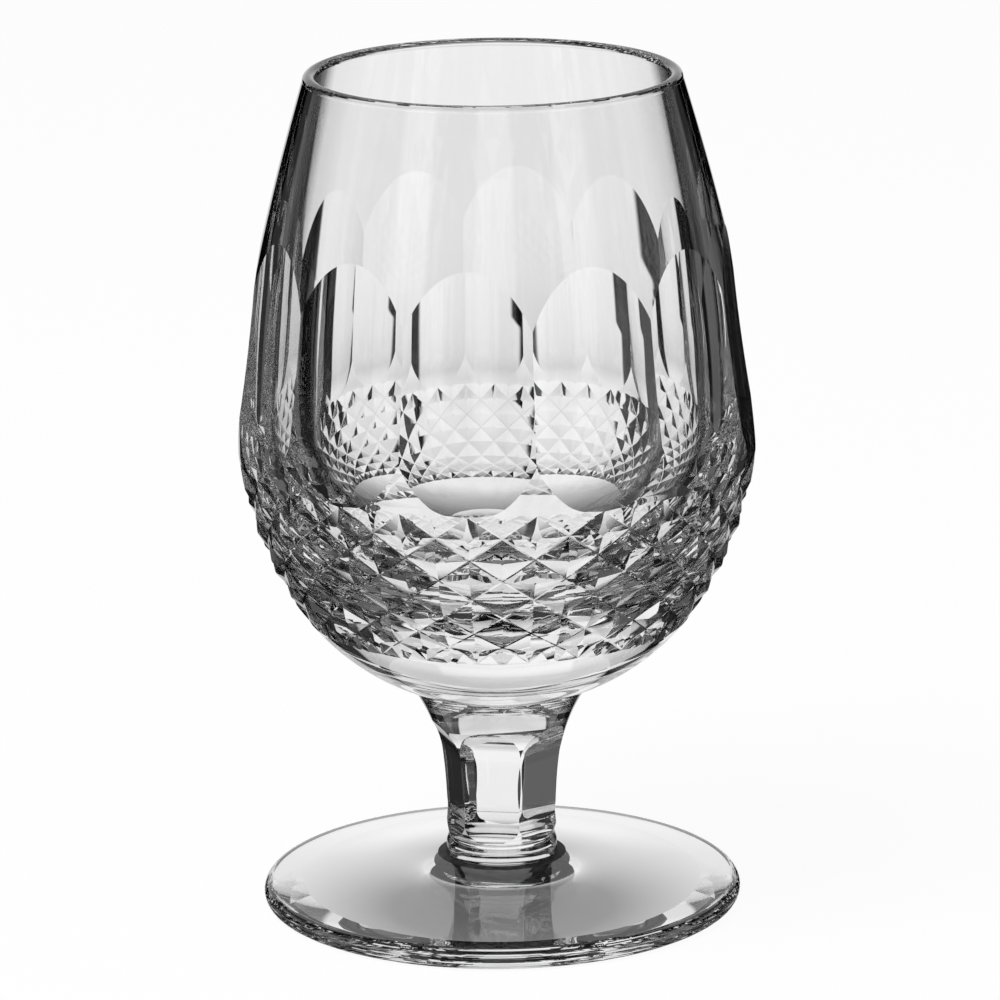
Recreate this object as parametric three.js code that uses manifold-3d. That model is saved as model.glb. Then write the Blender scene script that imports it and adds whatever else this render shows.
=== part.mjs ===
// Cognac glass in cut crystal: a tulip bowl, a short six-panelled stem and a round foot, three
// gathers of glass fused end to end. Millimetres, +Z up, origin under the middle of the foot.
import * as THREE from "three";
import { mergeVertices } from "three/addons/utils/BufferGeometryUtils.js";
import Module from "manifold-3d";

const wasm = await Module();
wasm.setup();

// Foot: a low cone with a rounded edge, hollowed underneath so that it stands on a flat ring,
// with a deeper ground spot in the middle.
const FOOT_RADIUS = 36.7;
const FOOT_HEIGHT = 7.3;
const FOOT_EDGE = 3.4;
const FOOT_RING = 5;
const FOOT_HOLLOW = 2.3;
const GRIND_RADIUS = 10;
const GRIND_DEPTH = 1;

// Stem: a round post with a collar and a neck at its lower end, flared to the bowl.
const STEM_LENGTH = 26.9;
const STEM_RADIUS = 8.5;
const STEM_TOP_RADIUS = 13.6;
const FLARE_LENGTH = 22;
const FLARE_POWER = 3;
const NECK_HEIGHT = 3.2;
const NECK_WIDTH = 1.6;
const NECK_DEPTH = 0.35;

// Panels: flats ground down the stem, leaning out with it, with a curve at each end.
const PANEL_COUNT = 6;
const PANEL_DEPTH = 1.2;
const PANEL_LOW = 7.3;
const PANEL_TRAVEL = 8.4;
const PANEL_LOW_CURVE = 8;
const PANEL_TOP_CURVE = 9;
const PANEL_LEAN = 4;
const STEM_TURN = -11.5;

// Bowl: heights are above its joint with the stem. Its inside is widest a little higher than its outside.
const BOWL_HEIGHT = 94.9;
const BELLY_RADIUS = 39.2;
const BELLY_HEIGHT = 37.5;
const RIM_RADIUS = 28.5;
const RIM_WALL = 2.1;
const BELLY_WALL = 5.3;
const INSIDE_LIFT = 6.5;
const BASE_WALL = 12.5;
const BOWL_TURN = -6.6;

// Oval cuts: ground round the shoulder by the flat edge of a large wheel.
const OVAL_COUNT = 12;
const OVAL_LOW = 36;
const OVAL_HIGH = 71.8;
const OVAL_WHEEL = 300;

// Diamond cuts: two families of spiral V grooves that leave rows of four-sided points.
const DIAMOND_COUNT = 24;
const DIAMOND_ROWS = 8;
const DIAMOND_LOW = 11.4;
const DIAMOND_HIGH = 36.3;
const GROOVE_ANGLE = 150;
const GROOVE_RUN_IN = 2.5;
const GROOVE_RUN_OUT = 1.5;

const ROUND = 72;
const CRYSTAL = { color: 0xf2f4f5, roughness: 0.02, metalness: 0, transparent: true, opacity: 0.4 };

function radians(degrees) {
  return THREE.MathUtils.degToRad(degrees);
}

function solidOf(geometry) {
  geometry.deleteAttribute("normal");
  geometry.deleteAttribute("uv");
  const merged = mergeVertices(geometry, 1e-4);
  const vertProperties = merged.attributes.position.array;
  const triVerts = new Uint32Array(merged.index.array);
  return new wasm.Manifold(new wasm.Mesh({ numProp: 3, vertProperties, triVerts }));
}

function geometryOf(solid) {
  const mesh = solid.getMesh();
  const geometry = new THREE.BufferGeometry();
  geometry.setAttribute("position", new THREE.BufferAttribute(mesh.vertProperties, 3));
  geometry.setIndex(new THREE.BufferAttribute(mesh.triVerts, 1));
  geometry.computeVertexNormals();
  return geometry;
}

// A profile of (radius, height) points turned about the Z axis.
function turned(points) {
  return new THREE.LatheGeometry(points, ROUND).rotateX(Math.PI / 2);
}

// A closed skin over a row of three-cornered sections, with its ends capped.
function skinned(sections) {
  const index = [];
  for (let i = 0; i + 1 < sections.length; i++) {
    for (let j = 0; j < 3; j++) {
      const a = 3 * i + j;
      const b = 3 * i + ((j + 1) % 3);
      index.push(a, b, a + 3, b, b + 3, a + 3);
    }
  }
  const end = 3 * (sections.length - 1);
  index.push(2, 1, 0, end, end + 1, end + 2);
  return new THREE.BufferGeometry().setFromPoints(sections.flat()).setIndex(index);
}

function mesh(name, geometry) {
  const made = new THREE.Mesh(geometry, new THREE.MeshStandardMaterial(CRYSTAL));
  made.name = name;
  return made;
}

function makeFoot() {
  const edge = FOOT_EDGE / 2;
  const hollow = FOOT_RADIUS - edge - FOOT_RING;
  const profile = new THREE.Path();
  profile.moveTo(0, FOOT_HOLLOW + GRIND_DEPTH);
  profile.quadraticCurveTo(0.6 * GRIND_RADIUS, FOOT_HOLLOW + GRIND_DEPTH, GRIND_RADIUS, FOOT_HOLLOW);
  profile.bezierCurveTo(0.5 * hollow, FOOT_HOLLOW, 0.75 * hollow, 0.4 * FOOT_HOLLOW, hollow, 0);
  profile.lineTo(FOOT_RADIUS - edge, 0);
  profile.absarc(FOOT_RADIUS - edge, edge, edge, -Math.PI / 2, radians(82), false);
  profile.quadraticCurveTo(0.5 * FOOT_RADIUS, 0.55 * (FOOT_EDGE + FOOT_HEIGHT), STEM_RADIUS, FOOT_HEIGHT);
  profile.lineTo(0, FOOT_HEIGHT);
  return mesh("foot", turned(profile.getPoints(4)));
}

function stemRadius(z) {
  const flare = Math.max(0, (z - STEM_LENGTH) / FLARE_LENGTH + 1);
  const neck = Math.min(1, Math.abs(z - NECK_HEIGHT) / NECK_WIDTH);
  const dip = NECK_DEPTH * Math.cos((neck * Math.PI) / 2) ** 2;
  return STEM_RADIUS + (STEM_TOP_RADIUS - STEM_RADIUS) * flare ** FLARE_POWER - dip;
}

function stemBlank() {
  const points = [new THREE.Vector2(0, 0)];
  const neckTop = NECK_HEIGHT + NECK_WIDTH;
  const flareFoot = STEM_LENGTH - FLARE_LENGTH;
  for (let i = 0; i < 6; i++) {
    const z = (neckTop * i) / 6;
    points.push(new THREE.Vector2(stemRadius(z), z));
  }
  points.push(new THREE.Vector2(stemRadius(neckTop), neckTop));
  for (let i = 0; i <= 8; i++) {
    const z = flareFoot + (FLARE_LENGTH * i) / 8;
    points.push(new THREE.Vector2(stemRadius(z), z));
  }
  points.push(new THREE.Vector2(0, STEM_LENGTH));
  return solidOf(turned(points));
}

// The space that one panel takes from the side of the stem.
function panelCutter(turn) {
  const near = STEM_RADIUS - PANEL_DEPTH;
  const shape = new THREE.Shape();
  shape.absarc(PANEL_TOP_CURVE, PANEL_TRAVEL, PANEL_TOP_CURVE, 0, Math.PI, false);
  shape.absarc(PANEL_LOW_CURVE, 0, PANEL_LOW_CURVE, Math.PI, 2 * Math.PI, false);
  const width = 2 * STEM_TOP_RADIUS;
  const options = { depth: width, bevelEnabled: false, curveSegments: 16 };
  const cutter = new THREE.ExtrudeGeometry(shape, options);
  cutter.translate(0, 0, -width / 2);
  cutter.rotateZ(radians(-PANEL_LEAN));
  cutter.rotateX(Math.PI / 2);
  cutter.translate(near, 0, PANEL_LOW);
  return solidOf(cutter.rotateZ(turn));
}

function makeStem() {
  let stem = stemBlank();
  for (let i = 0; i < PANEL_COUNT; i++) {
    stem = stem.subtract(panelCutter((2 * Math.PI * i) / PANEL_COUNT - Math.PI / 2));
  }
  const made = mesh("stem", geometryOf(stem));
  made.position.z = FOOT_HEIGHT;
  made.rotation.z = radians(STEM_TURN);
  return made;
}

// The bowl's outside as (radius, height), from the joint to the rim.
function bowlOutside() {
  const rise = BOWL_HEIGHT - BELLY_HEIGHT - RIM_WALL / 2;
  const under = BELLY_RADIUS - STEM_TOP_RADIUS;
  const belly = new THREE.Vector2(BELLY_RADIUS, BELLY_HEIGHT);
  const curve = new THREE.CurvePath();
  curve.add(
    new THREE.CubicBezierCurve(
      new THREE.Vector2(STEM_TOP_RADIUS, 0),
      new THREE.Vector2(STEM_TOP_RADIUS + 0.9 * under, 0.23 * BELLY_HEIGHT),
      new THREE.Vector2(BELLY_RADIUS, 0.94 * BELLY_HEIGHT),
      belly,
    ),
  );
  curve.add(
    new THREE.CubicBezierCurve(
      belly,
      new THREE.Vector2(BELLY_RADIUS, BELLY_HEIGHT + 0.15 * rise),
      new THREE.Vector2(BELLY_RADIUS, BELLY_HEIGHT + 0.365 * rise),
      new THREE.Vector2(RIM_RADIUS, BELLY_HEIGHT + rise),
    ),
  );
  return curve;
}

// The bowl's inside as (radius, height), from the rim down to the middle of its floor.
function bowlInside() {
  const rim = BOWL_HEIGHT - RIM_WALL / 2;
  const wide = BELLY_RADIUS - BELLY_WALL;
  const widest = BELLY_HEIGHT + INSIDE_LIFT;
  const deep = widest - BASE_WALL;
  const belly = new THREE.Vector2(wide, widest);
  const rise = rim - widest;
  const curve = new THREE.CurvePath();
  curve.add(
    new THREE.CubicBezierCurve(
      new THREE.Vector2(RIM_RADIUS - RIM_WALL, rim),
      new THREE.Vector2(wide, widest + 0.365 * rise),
      new THREE.Vector2(wide, widest + 0.15 * rise),
      belly,
    ),
  );
  curve.add(
    new THREE.CubicBezierCurve(
      belly,
      new THREE.Vector2(wide, widest - 0.55 * deep),
      new THREE.Vector2(0.55 * wide, BASE_WALL),
      new THREE.Vector2(0, BASE_WALL),
    ),
  );
  return curve;
}

function bowlBlank(outside) {
  const rim = BOWL_HEIGHT - RIM_WALL / 2;
  const points = [new THREE.Vector2(0, 0)];
  points.push(...outside.getPoints(6));
  const lip = new THREE.Path();
  lip.absarc(RIM_RADIUS - RIM_WALL / 2, rim, RIM_WALL / 2, 0, Math.PI, false);
  points.push(...lip.getPoints(2).slice(1, -1));
  points.push(...bowlInside().getPoints(5));
  return solidOf(turned(points));
}

// How far along a curve that climbs it reaches a height.
function shareAt(curve, height) {
  let low = 0;
  let high = 1;
  for (let i = 0; i < 40; i++) {
    const middle = (low + high) / 2;
    if (curve.getPoint(middle).y < height) low = middle;
    else high = middle;
  }
  return low;
}

// Part of a flat-edged wheel, standing in a plane through the axis and sunk into the bowl so
// that it meets the outside at the two heights.
function ovalCutter(outside, turn) {
  const low = outside.getPoint(shareAt(outside, OVAL_LOW));
  const high = outside.getPoint(shareAt(outside, OVAL_HIGH));
  const half = low.distanceTo(high) / 2;
  const out = new THREE.Vector2(high.y - low.y, low.x - high.x).normalize();
  const centre = low.clone().add(high).multiplyScalar(0.5);
  centre.addScaledVector(out, Math.sqrt(OVAL_WHEEL ** 2 - half ** 2));
  const facing = out.angle() + Math.PI;
  const reach = Math.asin((1.25 * half) / OVAL_WHEEL);
  const wide = 0.8 * BELLY_RADIUS;
  const shape = new THREE.Shape();
  shape.absarc(centre.x, centre.y, OVAL_WHEEL, facing - reach, facing + reach, false);
  shape.absarc(centre.x, centre.y, OVAL_WHEEL - wide, facing + reach, facing - reach, true);
  const wheel = new THREE.ExtrudeGeometry(shape, { depth: wide, bevelEnabled: false, curveSegments: 12 });
  wheel.translate(0, 0, -wide / 2);
  wheel.rotateX(Math.PI / 2);
  return solidOf(wheel.rotateZ(turn));
}

// Where a groove lies on each row of crossings: its place on the outside and its share of depth.
function grooveStations(outside) {
  const top = shareAt(outside, DIAMOND_HIGH);
  const bottom = shareAt(outside, DIAMOND_LOW);
  const length = (top - bottom) * outside.getLength();
  const fine = 400;
  const turns = [0];
  for (let i = 1; i <= fine; i++) {
    const from = outside.getPoint(top + ((bottom - top) * (i - 1)) / fine);
    const to = outside.getPoint(top + ((bottom - top) * i) / fine);
    turns.push(turns[i - 1] + (2 * from.distanceTo(to)) / (from.x + to.x));
  }
  const whole = turns[fine];
  const stations = [];
  for (let row = 0; row <= DIAMOND_ROWS; row++) {
    const share = turns.findIndex((turn) => turn > (whole * row) / DIAMOND_ROWS - 1e-9) / fine;
    const into = Math.min(1, (share * length) / GROOVE_RUN_IN);
    const left = Math.min(1, ((1 - share) * length) / GROOVE_RUN_OUT);
    const depth = Math.min(1 - (1 - into) ** 1.5, left);
    stations.push({ row, depth, along: top + (bottom - top) * share });
  }
  const twist = (DIAMOND_ROWS * Math.PI) / DIAMOND_COUNT;
  return { stations, slope: Math.atan(whole / twist) };
}

function grooveCutter(outside, field, start, side) {
  const { stations, slope } = field;
  const spread = Math.tan(radians(GROOVE_ANGLE / 2));
  const above = 1;
  const sections = stations.map(({ row, depth, along }) => {
    const angle = start + (side * row * Math.PI) / DIAMOND_COUNT;
    const point = outside.getPoint(along);
    const across = outside.getTangent(along);
    const normal = new THREE.Vector3(across.y, 0, -across.x);
    const climb = new THREE.Vector3(across.x, 0, across.y);
    const round = new THREE.Vector3(0, 1, 0);
    const wide = round.multiplyScalar(side * Math.sin(slope)).addScaledVector(climb, Math.cos(slope));
    const pitch = (Math.PI * point.x * Math.sin(slope)) / DIAMOND_COUNT;
    const deep = (1.04 * depth * pitch) / spread;
    const middle = new THREE.Vector3(point.x, 0, point.y);
    const tip = middle.clone().addScaledVector(normal, -deep);
    const high = middle.clone().addScaledVector(normal, above);
    const reach = (deep + above) * spread;
    const left = high.clone().addScaledVector(wide, reach);
    const right = high.clone().addScaledVector(wide, -reach);
    const corners = side > 0 ? [tip, left, right] : [tip, right, left];
    return corners.map((corner) => corner.applyAxisAngle(new THREE.Vector3(0, 0, 1), angle));
  });
  return solidOf(skinned(sections));
}

function makeBowl() {
  const outside = bowlOutside();
  let bowl = bowlBlank(outside);
  const field = grooveStations(outside);
  for (let i = 0; i < OVAL_COUNT; i++) {
    bowl = bowl.subtract(ovalCutter(outside, (2 * Math.PI * i) / OVAL_COUNT - Math.PI / 2));
  }
  for (let i = 0; i < DIAMOND_COUNT; i++) {
    const start = (2 * Math.PI * i) / DIAMOND_COUNT - Math.PI / 2;
    bowl = bowl.subtract(grooveCutter(outside, field, start, 1));
    bowl = bowl.subtract(grooveCutter(outside, field, start, -1));
  }
  const made = mesh("bowl", geometryOf(bowl));
  made.position.z = FOOT_HEIGHT + STEM_LENGTH;
  made.rotation.z = radians(BOWL_TURN);
  return made;
}

const glass = new THREE.Group();
glass.name = "cognac_glass";
glass.add(makeFoot(), makeStem(), makeBowl());

export default glass;
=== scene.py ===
"""Cognac glass in cut crystal, standing on a pale table.

The bowl, stem and foot are turned from profiles and then cut, as the glass was: ovals round
the shoulder, crossed spiral grooves below them, and panels down the stem.
Lengths are in millimetres until a mesh is made, and the meshes are in metres.
"""

import math

import bmesh
import bpy
from mathutils import Matrix, Vector
from mathutils.geometry import interpolate_bezier


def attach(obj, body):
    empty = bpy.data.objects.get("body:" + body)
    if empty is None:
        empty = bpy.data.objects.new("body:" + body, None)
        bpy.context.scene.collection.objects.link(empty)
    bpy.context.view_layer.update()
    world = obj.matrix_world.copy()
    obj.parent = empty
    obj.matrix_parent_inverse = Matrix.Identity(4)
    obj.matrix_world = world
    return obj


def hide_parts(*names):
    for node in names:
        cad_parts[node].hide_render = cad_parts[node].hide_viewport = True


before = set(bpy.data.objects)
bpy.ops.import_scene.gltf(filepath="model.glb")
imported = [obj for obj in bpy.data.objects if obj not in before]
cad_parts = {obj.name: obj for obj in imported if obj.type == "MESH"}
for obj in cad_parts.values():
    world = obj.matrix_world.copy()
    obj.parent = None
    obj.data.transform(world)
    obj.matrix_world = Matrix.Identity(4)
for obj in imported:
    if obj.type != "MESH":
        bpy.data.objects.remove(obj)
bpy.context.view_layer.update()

MM = 0.001
ROUND = 288
CREASE = math.radians(6)
TOUCH = 1e-6
POLISHED, FUSED, GROUND, CUT = range(4)

FOOT_RADIUS = 36.7
FOOT_HEIGHT = 7.3
FOOT_EDGE = 3.4
FOOT_RING = 5
FOOT_HOLLOW = 2.3
GRIND_RADIUS = 10
GRIND_DEPTH = 1

STEM_LENGTH = 26.9
STEM_RADIUS = 8.5
STEM_TOP_RADIUS = 13.6
FLARE_LENGTH = 22
FLARE_POWER = 3
NECK_HEIGHT = 3.2
NECK_WIDTH = 1.6
NECK_DEPTH = 0.35

PANEL_COUNT = 6
PANEL_DEPTH = 1.2
PANEL_LOW = 7.3
PANEL_TRAVEL = 8.4
PANEL_LOW_CURVE = 8
PANEL_TOP_CURVE = 9
PANEL_LEAN = 4
STEM_TURN = -11.5

BOWL_BASE = FOOT_HEIGHT + STEM_LENGTH
BOWL_HEIGHT = 94.9
BELLY_RADIUS = 39.2
BELLY_HEIGHT = 37.5
RIM_RADIUS = 28.5
RIM_WALL = 2.1
BELLY_WALL = 5.3
INSIDE_LIFT = 6.5
BASE_WALL = 12.5
BOWL_TURN = -6.6

OVAL_COUNT = 12
OVAL_LOW = 36
OVAL_HIGH = 71.8
OVAL_WHEEL = 300

DIAMOND_COUNT = 24
DIAMOND_ROWS = 8
DIAMOND_LOW = 11.4
DIAMOND_HIGH = 36.3
GROOVE_ANGLE = 150
GROOVE_FLAT = 0.25
GROOVE_RUN_IN = 2.5
GROOVE_RUN_OUT = 1.5

CRYSTAL_IOR = 1.545
CRYSTAL_HAZE = 0.002
# Painted shade on the glass: its colour darkens with how aslant it is seen (Layer Weight facing).
EDGE_PAINTED_SHADE = ((0.58, 1), (0.65, 0.4), (0.7, 0.08), (0.8, 0.01))
# Painted shade of the ground spot under the foot: near-black grey for the shadow under the stem.
SPOT_PAINTED_SHADE = ((0.35, 0.004), (0.65, 0.06))
# Painted shade on the glowing patch under the foot, by distance from a point in front of the middle.
SHADE_UNDER_FOOT = ((0, 0.1), (0.45, 0.18), (0.75, 0.55), (1, 0.85))

# Windows: degrees round from straight behind the glass, each side window with its brightness.
WINDOW_HALF = 16
WINDOW_SPREAD = 16
WINDOW_CARD = 4
SIDE_WINDOW_HALF = 10
SIDE_WINDOWS = ((46, 0.12), (90, 0.45), (135, 0.85), (180, 0.8))

# Brightness of the windows and of the dark between them, from straight down (0) to straight up (1).
LIT_DOWN = ((0, 0.08), (0.13, 0.12), (0.17, 0.5), (0.2, 1), (0.24, 1))
LIT_LEVEL = ((0.3, 0.75), (0.36, 0.92), (0.43, 1), (0.55, 1))
LIT_UP = ((0.62, 0.72), (0.72, 0.72), (0.78, 0.9), (0.88, 0.9), (0.93, 0.3))
DARK = ((0, 0.01), (0.3, 0.015), (0.36, 0.002), (0.6, 0.005), (0.85, 0.03))
RIGHT_SIDE_FADE = 0.05

LAMP_PLACE = (-0.5, -0.4, 1.2)
LAMP_AIM = (0, 0, 0.06)
LAMP_SIZE = 0.8
LAMP_POWER = 16

CAMERA_PLACE = (0.00035, -0.8875, 0.2955)
CAMERA_DOWN = 14.684
CAMERA_ROLL = -0.687
CAMERA_LENS = 217.5


# Shaders


class Value:
    """A socket that takes part in sums: each operator adds a Math node."""

    def __init__(self, shader, socket):
        self.shader = shader
        self.socket = socket

    def sum(self, operation, *terms):
        return self.shader.node("ShaderNodeMath", {"operation": operation}, *terms)

    def out(self, name):
        """Another output of the same node."""
        return Value(self.shader, self.socket.node.outputs[name])

    def within(self, outer, inner):
        """1 up to inner, falling smoothly to 0 at outer."""
        return self.shader.node(
            "ShaderNodeMapRange",
            {"interpolation_type": "SMOOTHSTEP"},
            self,
            From_Min=outer,
            From_Max=inner,
        )

    def __add__(self, other):
        return self.sum("ADD", self, other)

    def __radd__(self, other):
        return self.sum("ADD", other, self)

    def __sub__(self, other):
        return self.sum("SUBTRACT", self, other)

    def __rsub__(self, other):
        return self.sum("SUBTRACT", other, self)

    def __mul__(self, other):
        return self.sum("MULTIPLY", self, other)

    def __rmul__(self, other):
        return self.sum("MULTIPLY", other, self)


class Shader:
    """A node tree being built."""

    def __init__(self, tree):
        self.tree = tree
        tree.nodes.clear()

    @staticmethod
    def set_stops(ramp, stops):
        while len(ramp.elements) < len(stops):
            ramp.elements.new(0.5)
        for element, (place, grey) in zip(ramp.elements, sorted(stops)):
            element.position = place
            element.color = (grey, grey, grey, 1)

    def node(self, kind, settings=None, *terms, output=0, **inputs):
        node = self.tree.nodes.new(kind)
        for name, value in (settings or {}).items():
            if name == "stops":
                self.set_stops(node.color_ramp, value)
            else:
                setattr(node, name, value)
        named = {name.replace("_", " "): value for name, value in inputs.items()}
        for key, value in [*enumerate(terms), *named.items()]:
            if isinstance(value, Value):
                self.tree.links.new(value.socket, node.inputs[key])
            else:
                node.inputs[key].default_value = value
        return Value(self, node.outputs[output]) if node.outputs else node


def crystal(name, seed, painted_shade_above):
    """Clear crystal: faint polish waves, a trace of haze, and painted shade that darkens its colour where it
    is seen aslant, in place of dark surroundings seen through its edges.
    """
    material = bpy.data.materials.new(name)
    material.use_nodes = True
    shader = Shader(material.node_tree)
    place = shader.node("ShaderNodeTexCoord", output="Object")
    shifted = shader.node("ShaderNodeMapping", Vector=place, Location=(seed, 2 * seed, 0))
    wave = shader.node("ShaderNodeTexNoise", Vector=shifted, Scale=55, Detail=1)
    haze = shader.node("ShaderNodeTexNoise", Vector=shifted, Scale=160, Detail=3)
    bump = shader.node("ShaderNodeBump", Height=wave, Strength=0.02, Distance=0.0005)
    tint = shader.node("ShaderNodeValToRGB", {"stops": [(0.3, 0.985), (0.7, 0.998)]}, haze)
    # Painted shade: above the given height, the colour darkens where the glass is seen aslant, for dark
    # edges.
    aslant = shader.node("ShaderNodeLayerWeight", Blend=0.5, output="Facing")
    edge = shader.node("ShaderNodeValToRGB", {"stops": EDGE_PAINTED_SHADE}, aslant)
    height = shader.node("ShaderNodeSeparateXYZ", None, place, output="Z")
    above = height.within((painted_shade_above - 1) * MM, (painted_shade_above + 1) * MM)
    surface = shader.node(
        "ShaderNodeBsdfPrincipled",
        Base_Color=tint * (1 - above * (1 - edge)),
        Roughness=CRYSTAL_HAZE * (0.5 + haze),
        Normal=bump,
        IOR=CRYSTAL_IOR,
        Transmission_Weight=1,
    )
    shader.node("ShaderNodeOutputMaterial", Surface=surface)
    return material


def painted_shade_spot_material(name):
    """The ground spot under the foot: an opaque near-black grey, painted shade for the shadow under the
    stem, with darker and paler specks.
    """
    material = bpy.data.materials.new(name)
    material.use_nodes = True
    shader = Shader(material.node_tree)
    place = shader.node("ShaderNodeTexCoord", output="Object")
    specks = shader.node("ShaderNodeTexNoise", Vector=place, Scale=900, Detail=4)
    # Painted shade: the spot is coloured near-black for the shadow under the stem.
    grey = shader.node("ShaderNodeValToRGB", {"stops": SPOT_PAINTED_SHADE}, specks)
    surface = shader.node("ShaderNodeBsdfPrincipled", Base_Color=grey, Roughness=0.5 + 0.4 * specks)
    shader.node("ShaderNodeOutputMaterial", Surface=surface)
    return material


def fused(name):
    """The weld between two gathers: one glass, so nothing shows there."""
    material = bpy.data.materials.new(name)
    material.use_nodes = True
    shader = Shader(material.node_tree)
    surface = shader.node("ShaderNodeBsdfPrincipled", Alpha=0, Roughness=1)
    shader.node("ShaderNodeOutputMaterial", Surface=surface)
    return material


# Shapes


def arc(start, lean_start, lean_end, end, steps):
    """Points of a Bezier arc in the (radius, height) plane, without its first one."""
    ends = [Vector((*point, 0)) for point in (start, lean_start, lean_end, end)]
    return [point.to_2d() for point in interpolate_bezier(*ends, steps + 1)][1:]


def round_arc(centre, radius, start, end, steps):
    """Points of a circle's arc from one angle to another, in degrees."""
    points = []
    for i in range(steps + 1):
        angle = math.radians(start + (end - start) * i / steps)
        points.append(Vector((centre[0] + radius * math.cos(angle), centre[1] + radius * math.sin(angle))))
    return points


def turned(profile, base):
    """A profile of (radius, height) points spun about the axis into a closed mesh."""
    bm = bmesh.new()
    vert = bm.verts.new((profile[0][0] * MM, 0, (profile[0][1] + base) * MM))
    for radius, height in profile[1:]:
        vert = bmesh.ops.extrude_vert_indiv(bm, verts=[vert])["verts"][0]
        vert.co = (radius * MM, 0, (height + base) * MM)
    bmesh.ops.spin(
        bm,
        geom=bm.verts[:] + bm.edges[:],
        cent=(0, 0, 0),
        axis=(0, 0, 1),
        angle=2 * math.pi,
        steps=ROUND,
        use_merge=True,
    )
    bmesh.ops.remove_doubles(bm, verts=bm.verts, dist=TOUCH / 10)
    bmesh.ops.recalc_face_normals(bm, faces=bm.faces)
    return bm


def made(name, bm):
    mesh = bpy.data.meshes.new(name)
    bm.to_mesh(mesh)
    bm.free()
    for _ in (POLISHED, FUSED, GROUND, CUT):
        mesh.materials.append(None)
    piece = bpy.data.objects.new(name, mesh)
    bpy.context.scene.collection.objects.link(piece)
    return piece


def mark_cut(bm, finish):
    """Gives every face of a cutter the mark that the cut faces keep."""
    bmesh.ops.recalc_face_normals(bm, faces=bm.faces)
    for face in bm.faces:
        face.material_index = finish


def mark_fused(bm, height):
    """Gives the flat faces at a joint's height the weld's material."""
    for face in bm.faces:
        flat = abs(face.normal.z) > 0.999
        if flat and abs(face.calc_center_median().z - height * MM) < TOUCH:
            face.material_index = FUSED


def cut(piece, cutters):
    """Takes each cutter out of the piece, and removes the cutters."""
    for cutter in cutters:
        boolean = piece.modifiers.new("cut", "BOOLEAN")
        boolean.operation = "DIFFERENCE"
        boolean.solver = "MANIFOLD"
        boolean.object = cutter
    depsgraph = bpy.context.evaluated_depsgraph_get()
    mesh = bpy.data.meshes.new_from_object(piece.evaluated_get(depsgraph))
    blank = piece.data
    piece.modifiers.clear()
    piece.data = mesh
    mesh.name = piece.name
    bpy.data.meshes.remove(blank)
    for cutter in cutters:
        bpy.data.meshes.remove(cutter.data)


def finished(piece, *materials):
    """Smooth faces that meet crisply at every cut, and the piece's materials."""
    bm = bmesh.new()
    bm.from_mesh(piece.data)
    bmesh.ops.remove_doubles(bm, verts=bm.verts, dist=2 * TOUCH)
    bmesh.ops.dissolve_degenerate(bm, edges=bm.edges, dist=TOUCH)
    bmesh.ops.triangulate(bm, faces=bm.faces)
    for edge in bm.edges:
        sides = {face.material_index for face in edge.link_faces}
        edge.smooth = len(sides) == 1 and edge.calc_face_angle(0) < CREASE
    for face in bm.faces:
        face.smooth = True
        if face.material_index == CUT:
            face.material_index = POLISHED
    piece.data.materials.clear()
    for material in materials:
        piece.data.materials.append(material)
    bm.to_mesh(piece.data)
    bm.free()
    return piece


def make_foot():
    edge = FOOT_EDGE / 2
    hollow = FOOT_RADIUS - edge - FOOT_RING
    deep = FOOT_HOLLOW + GRIND_DEPTH
    shoulder = (GRIND_RADIUS, FOOT_HOLLOW)
    profile = [Vector((0, deep))]
    half_way = (0.7 * GRIND_RADIUS, 0.5 * (deep + FOOT_HOLLOW))
    profile += arc((0, deep), (0.4 * GRIND_RADIUS, deep), half_way, shoulder, steps=16)
    ring = (hollow, 0)
    profile += arc(shoulder, (0.5 * hollow, FOOT_HOLLOW), (0.75 * hollow, 0.4 * FOOT_HOLLOW), ring, steps=16)
    profile += round_arc((FOOT_RADIUS - edge, edge), edge, -90, 82, steps=28)
    rim = profile[-1]
    seat = Vector((STEM_RADIUS, FOOT_HEIGHT))
    lean = Vector((0.5 * FOOT_RADIUS, 0.55 * (FOOT_EDGE + FOOT_HEIGHT)))
    profile += arc(rim, rim.lerp(lean, 2 / 3), seat.lerp(lean, 2 / 3), seat, steps=30)
    profile.append(Vector((0, FOOT_HEIGHT)))
    bm = turned(profile, 0)
    mark_fused(bm, FOOT_HEIGHT)
    for face in bm.faces:
        middle = face.calc_center_median()
        if middle.xy.length < GRIND_RADIUS * MM and middle.z < FOOT_HEIGHT * MM - TOUCH:
            face.material_index = GROUND
    return made("glass_foot", bm)


def stem_radius(height):
    flare = max(0, (height - STEM_LENGTH) / FLARE_LENGTH + 1)
    neck = min(1, abs(height - NECK_HEIGHT) / NECK_WIDTH)
    dip = NECK_DEPTH * math.cos(neck * math.pi / 2) ** 2
    return STEM_RADIUS + (STEM_TOP_RADIUS - STEM_RADIUS) * flare**FLARE_POWER - dip


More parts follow.
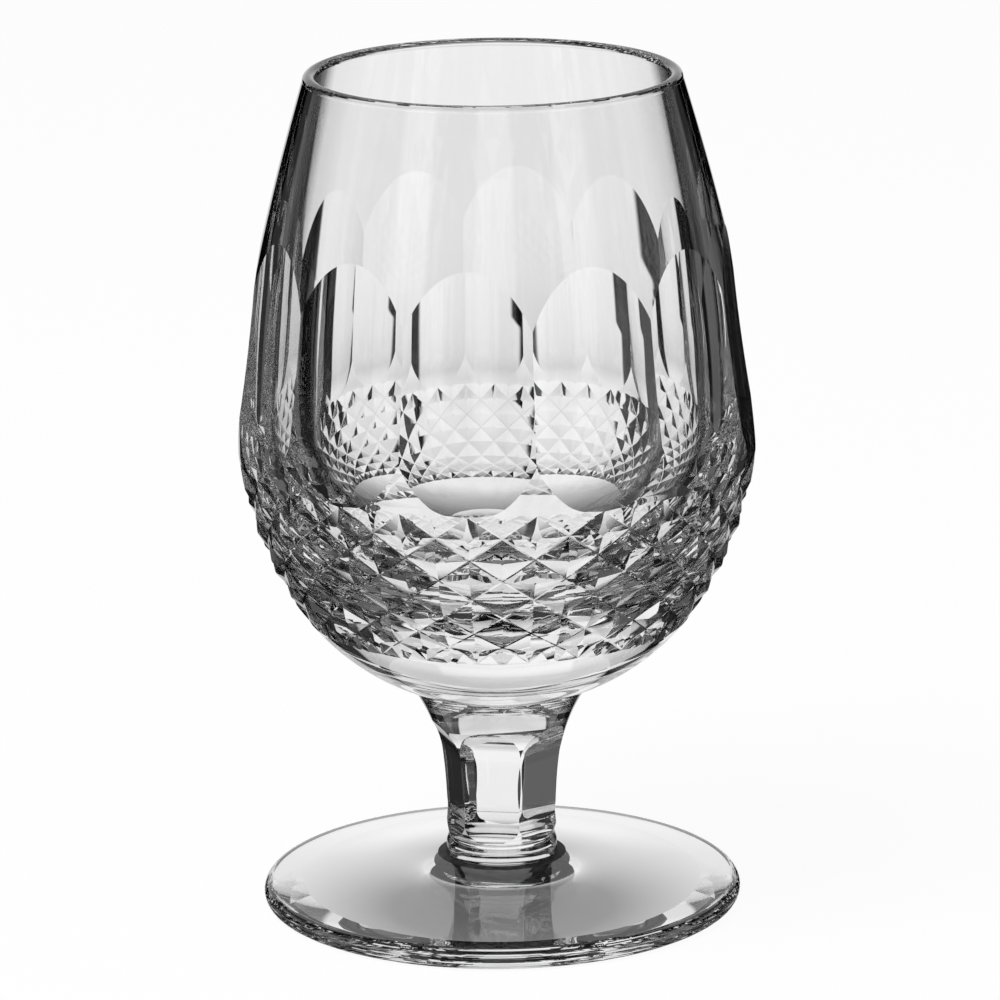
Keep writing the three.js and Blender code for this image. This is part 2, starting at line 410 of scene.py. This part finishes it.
def panel_cutter(turn):
    """The space that one panel takes from the side of the stem, with a curve at each end."""
    near = STEM_RADIUS - PANEL_DEPTH
    outline = round_arc((PANEL_TOP_CURVE, PANEL_TRAVEL), PANEL_TOP_CURVE, 0, 180, steps=60)
    outline += round_arc((PANEL_LOW_CURVE, 0), PANEL_LOW_CURVE, 180, 360, steps=80)
    bm = bmesh.new()
    bm.faces.new([bm.verts.new((x * MM, y * MM, 0)) for x, y in outline])
    wide = 2 * STEM_TOP_RADIUS * MM
    grown = bmesh.ops.extrude_face_region(bm, geom=bm.faces[:])["geom"]
    far = [part for part in grown if isinstance(part, bmesh.types.BMVert)]
    bmesh.ops.translate(bm, verts=far, vec=(0, 0, wide))
    foot = Matrix.Translation((near * MM, wide / 2, (FOOT_HEIGHT + PANEL_LOW) * MM))
    stand = foot @ Matrix.Rotation(math.pi / 2, 4, "X")
    lean = Matrix.Rotation(math.radians(-PANEL_LEAN), 4, "Z")
    bmesh.ops.transform(bm, matrix=Matrix.Rotation(turn, 4, "Z") @ stand @ lean, verts=bm.verts)
    mark_cut(bm, CUT)
    return made("panel_cutter", bm)


def make_stem():
    profile = [Vector((0, 0))]
    steps = 110
    for i in range(steps + 1):
        height = STEM_LENGTH * i / steps
        profile.append(Vector((stem_radius(height), height)))
    profile.append(Vector((0, STEM_LENGTH)))
    bm = turned(profile, FOOT_HEIGHT)
    mark_fused(bm, FOOT_HEIGHT)
    mark_fused(bm, BOWL_BASE)
    stem = made("glass_stem", bm)
    first = math.radians(STEM_TURN - 90)
    cut(stem, [panel_cutter(first + 2 * math.pi * i / PANEL_COUNT) for i in range(PANEL_COUNT)])
    return stem


def bowl_outside():
    """The bowl's outside from the joint to the rim."""
    rise = BOWL_HEIGHT - BELLY_HEIGHT - RIM_WALL / 2
    under = BELLY_RADIUS - STEM_TOP_RADIUS
    joint = (STEM_TOP_RADIUS, 0)
    belly = (BELLY_RADIUS, BELLY_HEIGHT)
    rim = (RIM_RADIUS, BELLY_HEIGHT + rise)
    points = [Vector(joint)]
    spread = (STEM_TOP_RADIUS + 0.9 * under, 0.23 * BELLY_HEIGHT)
    points += arc(joint, spread, (BELLY_RADIUS, 0.94 * BELLY_HEIGHT), belly, steps=60)
    upright = (BELLY_RADIUS, BELLY_HEIGHT + 0.15 * rise)
    points += arc(belly, upright, (BELLY_RADIUS, BELLY_HEIGHT + 0.365 * rise), rim, steps=60)
    return points


def bowl_inside():
    """The bowl's inside from the rim down to the middle of its floor."""
    top = BOWL_HEIGHT - RIM_WALL / 2
    wide = BELLY_RADIUS - BELLY_WALL
    widest = BELLY_HEIGHT + INSIDE_LIFT
    deep = widest - BASE_WALL
    rise = top - widest
    rim = (RIM_RADIUS - RIM_WALL, top)
    belly = (wide, widest)
    floor = (0, BASE_WALL)
    points = arc(rim, (wide, widest + 0.365 * rise), (wide, widest + 0.15 * rise), belly, steps=50)
    points += arc(belly, (wide, widest - 0.55 * deep), (0.55 * wide, BASE_WALL), floor, steps=60)
    return points


def at_height(points, height):
    """The point of a climbing curve at a height, and how far along the curve it is."""
    along = 0
    for low, high in zip(points, points[1:]):
        step = (high - low).length
        if high.y >= height:
            share = (height - low.y) / (high.y - low.y)
            return low.lerp(high, share), along + share * step
        along += step
    raise ValueError("the curve ends below that height")


def at_length(points, length):
    """The point of a curve at a distance along it, and the curve's direction there."""
    for low, high in zip(points, points[1:]):
        step = (high - low).length
        if length <= step:
            return low.lerp(high, length / step), (high - low).normalized()
        length -= step
    return points[-1], (points[-1] - points[-2]).normalized()


def oval_cutter(outside, turn):
    """Part of a flat-edged wheel, sunk into the shoulder between two heights."""
    low = at_height(outside, OVAL_LOW)[0]
    high = at_height(outside, OVAL_HIGH)[0]
    half = (high - low).length / 2
    chord = (high - low).normalized()
    out = Vector((chord.y, -chord.x))
    centre = low.lerp(high, 0.5) + out * math.sqrt(OVAL_WHEEL**2 - half**2)
    wide = 0.4 * BELLY_RADIUS
    bm = bmesh.new()
    bmesh.ops.create_grid(bm, x_segments=1, y_segments=1, size=wide * MM)
    bmesh.ops.scale(bm, vec=(0.3, 1, 1), verts=bm.verts)
    bmesh.ops.translate(bm, vec=((OVAL_WHEEL - 0.3 * wide) * MM, 0, 0), verts=bm.verts)
    sweep = 2 * math.asin(1.25 * half / OVAL_WHEEL)
    bmesh.ops.rotate(bm, verts=bm.verts, cent=(0, 0, 0), matrix=Matrix.Rotation(-sweep / 2, 3, "Y"))
    bmesh.ops.spin(bm, geom=bm.faces[:], cent=(0, 0, 0), axis=(0, 1, 0), angle=sweep, steps=60)
    lean = math.atan2(out.y, out.x)
    hub = Matrix.Translation((centre.x * MM, 0, (centre.y + BOWL_BASE) * MM))
    stand = hub @ Matrix.Rotation(math.pi - lean, 4, "Y")
    bmesh.ops.transform(bm, matrix=Matrix.Rotation(turn, 4, "Z") @ stand, verts=bm.verts)
    mark_cut(bm, CUT)
    return made("oval_cutter", bm)


def groove_stations(outside):
    """Places down the diamond field at equal parts of a groove's turn, with the share of its depth."""
    top = at_height(outside, DIAMOND_HIGH)[1]
    bottom = at_height(outside, DIAMOND_LOW)[1]
    length = top - bottom
    fine = 800
    turns = [0]
    for i in range(fine):
        place = at_length(outside, top - length * (i + 0.5) / fine)[0]
        turns.append(turns[-1] + length / fine / place.x)
    stations = []
    parts = 4 * DIAMOND_ROWS
    for part in range(parts + 1):
        wanted = turns[-1] * part / parts - 1e-9
        share = next(i for i, turn in enumerate(turns) if turn >= wanted) / fine
        into = min(1, share * length / GROOVE_RUN_IN)
        left = min(1, (1 - share) * length / GROOVE_RUN_OUT)
        depth = min(1 - (1 - into) ** 1.5, left)
        stations.append((part / 4, depth, *at_length(outside, top - length * share)))
    slope = math.atan(turns[-1] * DIAMOND_COUNT / (DIAMOND_ROWS * math.pi))
    return stations, slope


def groove_cutter(stations, slope, start, side):
    """A V-shaped bar with a narrow flat edge, laid along one groove."""
    spread = math.tan(math.radians(GROOVE_ANGLE / 2))
    above = 1
    bm = bmesh.new()
    sections = []
    for row, depth, place, climb in stations:
        turn = Matrix.Rotation(start + side * row * math.pi / DIAMOND_COUNT, 3, "Z")
        normal = Vector((climb.y, 0, -climb.x))
        wide = math.cos(slope) * Vector((climb.x, 0, climb.y)) + Vector((0, side * math.sin(slope), 0))
        deep = 1.04 * depth * math.pi * place.x * math.sin(slope) / DIAMOND_COUNT / spread
        middle = Vector((place.x, 0, place.y + BOWL_BASE))
        reach = (deep + above) * spread
        crest = middle + above * normal
        flat = min(GROOVE_FLAT / 2, deep * spread)
        floor = middle - (deep - flat / spread) * normal
        section = (floor - flat * wide, floor + flat * wide, crest + reach * wide, crest - reach * wide)
        corners = [turn @ point * MM for point in section]
        if not sections:
            sections.append(bm.faces.new([bm.verts.new(corner) for corner in corners]))
            continue
        grown = bmesh.ops.extrude_face_region(bm, geom=sections[-1:])["geom"]
        sections += [part for part in grown if isinstance(part, bmesh.types.BMFace)]
        for vert, corner in zip(sections[-1].verts, corners):
            vert.co = corner
    bmesh.ops.delete(bm, geom=sections[1:-1], context="FACES_ONLY")
    mark_cut(bm, GROUND)
    return made("groove_cutter", bm)


def make_bowl():
    outside = bowl_outside()
    top = BOWL_HEIGHT - RIM_WALL / 2
    lip = round_arc((RIM_RADIUS - RIM_WALL / 2, top), RIM_WALL / 2, 0, 180, steps=16)
    profile = [Vector((0, 0)), *outside, *lip[1:], *bowl_inside()]
    bm = turned(profile, BOWL_BASE)
    mark_fused(bm, BOWL_BASE)
    bowl = made("glass_bowl", bm)
    first = math.radians(BOWL_TURN - 90)
    cutters = [oval_cutter(outside, first + 2 * math.pi * i / OVAL_COUNT) for i in range(OVAL_COUNT)]
    stations, slope = groove_stations(outside)
    for i in range(DIAMOND_COUNT):
        start = first + 2 * math.pi * i / DIAMOND_COUNT
        cutters.append(groove_cutter(stations, slope, start, 1))
        cutters.append(groove_cutter(stations, slope, start, -1))
    cut(bowl, cutters)
    return bowl


weld = fused("fused_joint")
painted_shade_spot = painted_shade_spot_material("painted_shade_spot")
# Each piece with its maker and the height above which its glass gets painted shade at the edges.
pieces = (
    ("bowl", make_bowl, BOWL_BASE + DIAMOND_LOW),
    ("stem", make_stem, 0),
    ("foot", make_foot, 2 * FOOT_HEIGHT),
)
for seed, (node, make, painted_shade_above) in enumerate(pieces):
    polished = crystal("crystal_" + node, seed, painted_shade_above)
    # The foot's ground spot takes the painted-shade material.
    piece = finished(make(), polished, weld, painted_shade_spot if node == "foot" else polished)
    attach(piece, "root")
    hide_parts(node)


# Table, surroundings and light


def table():
    """A white table: the camera sees it almost as bright as the backdrop, with the glass's shadow."""
    bm = bmesh.new()
    bmesh.ops.create_grid(bm, x_segments=1, y_segments=1, size=6)
    floor = made("table", bm)
    material = bpy.data.materials.new("white_table")
    material.use_nodes = True
    shader = Shader(material.node_tree)
    paper = shader.node("ShaderNodeBsdfDiffuse", Color=(0.9, 0.9, 0.9, 1))
    white = shader.node("ShaderNodeEmission", Color=(1, 1, 1, 1), Strength=1)
    seen = shader.node("ShaderNodeLightPath", output="Is Camera Ray")
    mix = shader.node("ShaderNodeMixShader", None, 0.95 * seen, paper, white)
    shader.node("ShaderNodeOutputMaterial", Surface=mix)
    floor.data.materials.clear()
    floor.data.materials.append(material)
    floor.visible_transmission = False
    floor.visible_glossy = False


def under_foot_painted_shade():
    """The patch of table under the foot, which only the glass sees: a glowing disc with painted shade,
    darkest in front of the middle.
    """
    bm = bmesh.new()
    bmesh.ops.create_circle(bm, cap_ends=True, segments=96, radius=0.96 * FOOT_RADIUS * MM)
    patch = made("table_under_foot", bm)
    patch.location.z = -0.05 * MM
    material = bpy.data.materials.new("table_painted_shade")
    material.use_nodes = True
    shader = Shader(material.node_tree)
    place = shader.node("ShaderNodeTexCoord", output="Object")
    forward = shader.node("ShaderNodeMapping", Vector=place, Location=(0, 0.35 * FOOT_RADIUS * MM, 0))
    away = shader.node("ShaderNodeVectorMath", {"operation": "LENGTH"}, forward, output="Value")
    out = 1 / (FOOT_RADIUS * MM) * away
    # Painted shade: the patch glows darker towards a point in front of the middle, for the table shaded
    # under the foot.
    pale = shader.node("ShaderNodeValToRGB", {"stops": SHADE_UNDER_FOOT}, out)
    glow = shader.node("ShaderNodeEmission", Color=pale, Strength=1)
    shader.node("ShaderNodeOutputMaterial", Surface=glow)
    patch.data.materials.clear()
    patch.data.materials.append(material)
    patch.visible_camera = False
    patch.visible_diffuse = False
    patch.visible_shadow = False


def surroundings():
    """A studio for glass: lit white panels seen through it, with dark cards between them."""
    world = bpy.data.worlds.new("studio")
    bpy.context.scene.world = world
    world.use_nodes = True
    shader = Shader(world.node_tree)
    way = shader.node("ShaderNodeSeparateXYZ", None, shader.node("ShaderNodeTexCoord", output="Generated"))
    height = 0.5 + 0.5 * way.out("Z")
    side = shader.node("ShaderNodeMath", {"operation": "ARCTAN2"}, way.out("X"), way.out("Y"))
    off = 180 / math.pi * shader.node("ShaderNodeMath", {"operation": "ABSOLUTE"}, side)
    lit = shader.node("ShaderNodeValToRGB", {"stops": LIT_DOWN + LIT_LEVEL + LIT_UP}, height)
    dark = shader.node("ShaderNodeValToRGB", {"stops": DARK}, height)
    wider = WINDOW_SPREAD * way.out("Z").within(0, 0.08)
    card = WINDOW_CARD * way.out("Z").within(-0.26, -0.225) * way.out("X").within(0, 0.05)
    windows = (off - wider + card).within(WINDOW_HALF + 1, WINDOW_HALF - 1)
    for middle, bright in SIDE_WINDOWS:
        gap = shader.node("ShaderNodeMath", {"operation": "ABSOLUTE"}, off - middle)
        windows = windows + bright * gap.within(SIDE_WINDOW_HALF + 2, SIDE_WINDOW_HALF - 2)
    fade = 1 - RIGHT_SIDE_FADE + RIGHT_SIDE_FADE * way.out("X").within(0.15, -0.15)
    light = windows * lit * fade + (1 - windows) * dark
    seen = shader.node("ShaderNodeLightPath", output="Is Camera Ray")
    glow = shader.node("ShaderNodeBackground", None, light * (1 - seen) + seen)
    shader.node("ShaderNodeOutputWorld", Surface=glow)


def soft_box(name, place, size, power):
    light = bpy.data.lights.new(name, "AREA")
    light.shape = "DISK"
    light.size = size
    light.energy = power
    lamp = bpy.data.objects.new(name, light)
    lamp.location = place
    lamp.rotation_euler = (Vector(LAMP_AIM) - Vector(place)).to_track_quat("-Z", "Y").to_euler()
    lamp.visible_glossy = False
    lamp.visible_transmission = False
    bpy.context.scene.collection.objects.link(lamp)


def camera():
    lens = bpy.data.cameras.new("camera")
    lens.sensor_width = 36
    lens.lens = CAMERA_LENS
    lens.clip_start = 0.01
    view = bpy.data.objects.new("camera", lens)
    tilt = Matrix.Rotation(math.radians(90 - CAMERA_DOWN), 4, "X")
    roll = Matrix.Rotation(math.radians(CAMERA_ROLL), 4, "Z")
    view.matrix_world = Matrix.Translation(CAMERA_PLACE) @ tilt @ roll
    bpy.context.scene.collection.objects.link(view)
    bpy.context.scene.camera = view


table()
under_foot_painted_shade()
surroundings()
soft_box("top_light", LAMP_PLACE, LAMP_SIZE, LAMP_POWER)
camera()

scene = bpy.context.scene
scene.view_settings.view_transform = "Standard"
scene.cycles.max_bounces = 32
scene.cycles.transmission_bounces = 32
scene.cycles.glossy_bounces = 16
scene.cycles.transparent_max_bounces = 32
